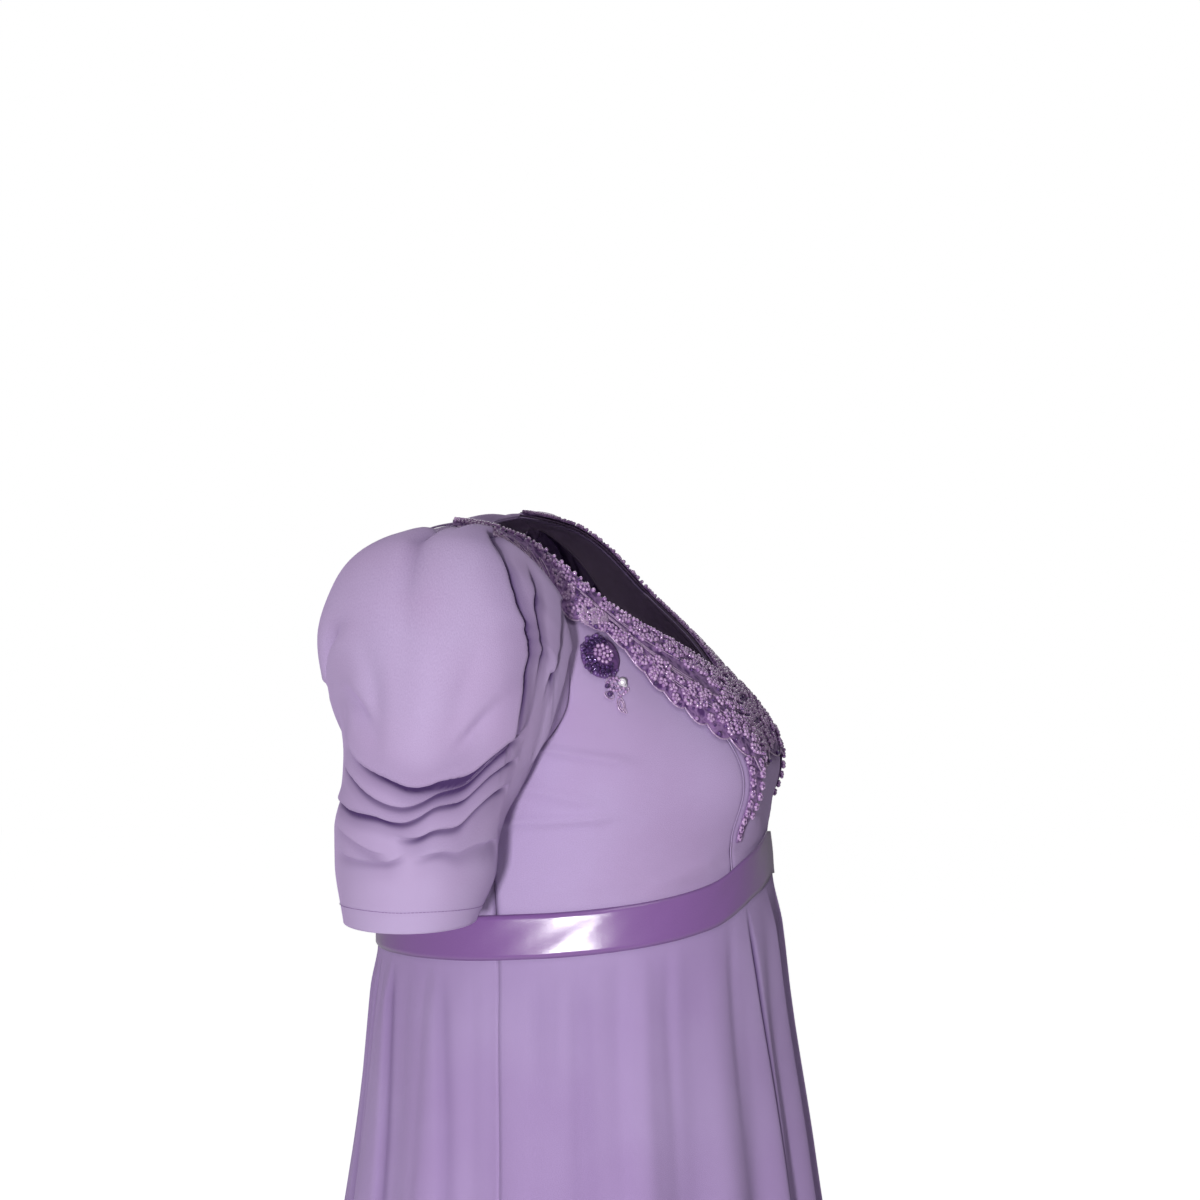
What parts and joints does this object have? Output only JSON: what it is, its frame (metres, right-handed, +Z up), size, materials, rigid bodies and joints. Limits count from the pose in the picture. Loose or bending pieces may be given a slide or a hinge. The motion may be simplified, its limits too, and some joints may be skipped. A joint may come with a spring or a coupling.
{
  "type": "regency gown",
  "caption": "Worn high-waisted regency gown, hollow, with puffed sleeves, a satin waist ribbon, beaded neckline lace and a full floor-length skirt.",
  "frame": {"origin": "midway between the crests of the two shoulder straps, at their height, where the shoulders carry the gown", "axes": "+Z up along the gown's length, the front faces -Y, the wearer's right side is at -X"},
  "size_m": [0.6824, 0.5355, 1.4344],
  "materials": {
    "chiffon": "matt lilac chiffon over an opaque lining",
    "satin": "glossy purple satin ribbon",
    "beaded_lace": "lilac lace sewn all over with small pearls and beads",
    "dark_beadwork": "dark purple sequins and beads with pearls in the middle"
  },
  "bodies": {
    "root": {"bodice_front": "chiffon", "bodice_side_right": "chiffon", "bodice_side_left": "chiffon", "bodice_back_right": "chiffon", "bodice_back_left": "chiffon", "sleeve_right": "chiffon", "sleeve_left": "chiffon", "waist_ribbon": "satin", "skirt_front": "chiffon", "skirt_back": "chiffon", "lace_right": "beaded_lace", "lace_left": "beaded_lace", "lace_tail_right": "beaded_lace", "lace_tail_left": "beaded_lace", "rosette_right": "dark_beadwork", "rosette_left": "dark_beadwork"}
  },
  "joints": []
}
